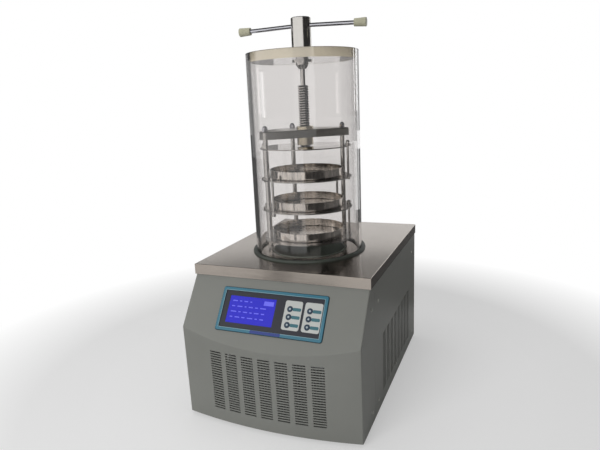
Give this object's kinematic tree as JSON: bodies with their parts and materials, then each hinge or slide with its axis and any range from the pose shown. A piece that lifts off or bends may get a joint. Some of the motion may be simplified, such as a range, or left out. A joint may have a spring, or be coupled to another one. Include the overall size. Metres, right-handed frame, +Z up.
{
  "type": "freeze dryer",
  "caption": "Bench-top freeze dryer: clear cylindrical drying chamber over a cold trap, hand-turned press rack with round trays, and a cabinet with a sloping control console and cooling slots.",
  "frame": {"origin": "on the ground under the middle of the machine's overall box", "axes": "+Z up, +Y to the rear, +X to the machine's right as seen from the front"},
  "size_m": [0.45, 0.6654, 0.9525],
  "materials": {
    "black_paint": "semi-gloss paint",
    "black_plastic": "moulded",
    "black_rubber": "matt moulded",
    "board_green": "lacquered board",
    "cap_plastic": "moulded, glossy",
    "chrome_rod": "bright plated",
    "clear_acrylic": "clear polished acrylic",
    "copper": "drawn tube",
    "display_blue": "lit liquid crystal behind clear cover",
    "fan_plastic": "moulded",
    "fin_aluminium": "mill finish",
    "foam": "moulded foam",
    "frame_teal": "gloss paint",
    "hub_aluminium": "turned, bright",
    "key_plastic": "moulded, satin",
    "key_plate_white": "satin film",
    "lever_red": "dipped coating",
    "nut_brass": "turned",
    "overlay_grey": "fine matt film",
    "panel_paint": "satin, finely textured powder coat",
    "rack_aluminium": "turned, satin",
    "rocker_plastic": "moulded, glossy",
    "screw_steel": "zinc plated, satin",
    "seal_rubber": "smooth moulded",
    "stainless_sheet": "brushed, satin",
    "stainless_steel": "turned, fine satin",
    "tray_steel": "polished",
    "valve_brass": "turned",
    "zinc_steel": "galvanised, dull"
  },
  "bodies": {
    "cabinet": {"base_tray": "panel_paint", "rubber_feet": "black_rubber", "corner_posts": "zinc_steel", "front_panel": "panel_paint", "left_side_panel": "panel_paint", "right_side_panel": "panel_paint", "rear_panel": "panel_paint", "top_plate": "stainless_sheet", "panel_screws": "screw_steel", "compressor": "black_paint", "condenser_coil": "fin_aluminium", "fan_motor": "black_paint", "refrigerant_pipes": "copper", "trap_vessel": "stainless_sheet", "evaporator_coil": "copper", "trap_insulation": "foam", "control_frame": "frame_teal", "display_module": "display_blue", "keypad_overlay": "overlay_grey", "key_plates": "key_plate_white", "controller_board": "board_green", "power_inlet": "black_plastic", "rocker_housing": "black_plastic", "vacuum_port": "stainless_steel", "drain_pipe": "stainless_steel", "drain_valve": "valve_brass", "seal_ring": "seal_rubber", "chamber_tube": "clear_acrylic", "chamber_lid": "clear_acrylic", "shaft_gland": "stainless_steel", "gland_nut": "stainless_steel", "screw_nut": "nut_brass", "rack_top_plate": "rack_aluminium", "rack_columns": "stainless_steel", "column_nuts": "chrome_rod", "lower_shelf": "stainless_sheet", "lower_tray": "tray_steel"},
    "handle": {"handle_hub": "hub_aluminium", "handle_arms": "chrome_rod", "handle_caps": "cap_plastic", "drive_shaft": "stainless_steel"},
    "press": {"press_plate": "stainless_sheet", "upper_hangers": "stainless_steel"},
    "screw": {"press_screw": "stainless_steel", "screw_retainer": "stainless_steel"},
    "upper_shelf": {"upper_shelf": "stainless_sheet", "upper_tray": "tray_steel", "middle_hangers": "stainless_steel"},
    "middle_shelf": {"middle_shelf": "stainless_sheet", "middle_tray": "tray_steel", "lower_hangers": "stainless_steel"},
    "fan": {"fan_blades": "fan_plastic"},
    "rocker": {"power_rocker": "rocker_plastic"},
    "drain_lever": {"drain_lever": "lever_red"},
    "key_1": {"key_1": "key_plastic"},
    "key_2": {"key_2": "key_plastic"},
    "key_3": {"key_3": "key_plastic"},
    "key_4": {"key_4": "key_plastic"},
    "key_5": {"key_5": "key_plastic"},
    "key_6": {"key_6": "key_plastic"}
  },
  "joints": [
    {"name": "handle_turn", "type": "hinge", "parent": "cabinet", "child": "handle", "pos_m": [0, -0.02129, 0.91], "axis": [0, 0, -1], "range_deg": [0, 1500]},
    {"name": "press_slide", "type": "slide", "parent": "cabinet", "child": "press", "axis": [0, 0, -1], "range_m": [0, 0.025]},
    {"name": "screw_turn", "type": "hinge", "parent": "press", "child": "screw", "pos_m": [0, -0.02129, 0.64], "axis": [0, 0, -1], "range_deg": [0, 1500]},
    {"name": "upper_shelf_slide", "type": "slide", "parent": "cabinet", "child": "upper_shelf", "axis": [0, 0, -1], "range_m": [0, 0.01667]},
    {"name": "middle_shelf_slide", "type": "slide", "parent": "cabinet", "child": "middle_shelf", "axis": [0, 0, -1], "range_m": [0, 0.00834]},
    {"name": "fan_spin", "type": "hinge", "parent": "cabinet", "child": "fan", "pos_m": [0, -0.20729, 0.1], "axis": [0, 1, 0], "continuous": true},
    {"name": "power_rocker_tilt", "type": "hinge", "parent": "cabinet", "child": "rocker", "pos_m": [0.165, 0.30021, 0.084], "axis": [1, 0, 0], "range_deg": [0, 16]},
    {"name": "drain_lever_turn", "type": "hinge", "parent": "cabinet", "child": "drain_lever", "pos_m": [0, 0.31471, 0.068], "axis": [0, 0, 1], "range_deg": [0, 90]},
    {"name": "key_1_press", "type": "slide", "parent": "cabinet", "child": "key_1", "axis": [0, 0.8057, -0.5923], "range_m": [0, 0.0008], "stiffness_N_per_m": 300},
    {"name": "key_2_press", "type": "slide", "parent": "cabinet", "child": "key_2", "axis": [0, 0.8057, -0.5923], "range_m": [0, 0.0008], "stiffness_N_per_m": 300},
    {"name": "key_3_press", "type": "slide", "parent": "cabinet", "child": "key_3", "axis": [0, 0.8057, -0.5923], "range_m": [0, 0.0008], "stiffness_N_per_m": 300},
    {"name": "key_4_press", "type": "slide", "parent": "cabinet", "child": "key_4", "axis": [0, 0.8057, -0.5923], "range_m": [0, 0.0008], "stiffness_N_per_m": 300},
    {"name": "key_5_press", "type": "slide", "parent": "cabinet", "child": "key_5", "axis": [0, 0.8057, -0.5923], "range_m": [0, 0.0008], "stiffness_N_per_m": 300},
    {"name": "key_6_press", "type": "slide", "parent": "cabinet", "child": "key_6", "axis": [0, 0.8057, -0.5923], "range_m": [0, 0.0008], "stiffness_N_per_m": 300}
  ],
  "couplings": [
    {"joint": "press_slide", "follows": "handle_turn", "m_per_rad": 0.00095492},
    {"joint": "screw_turn", "follows": "handle_turn", "ratio": 1},
    {"joint": "upper_shelf_slide", "follows": "handle_turn", "m_per_rad": 0.00063661},
    {"joint": "middle_shelf_slide", "follows": "handle_turn", "m_per_rad": 0.0003183}
  ]
}
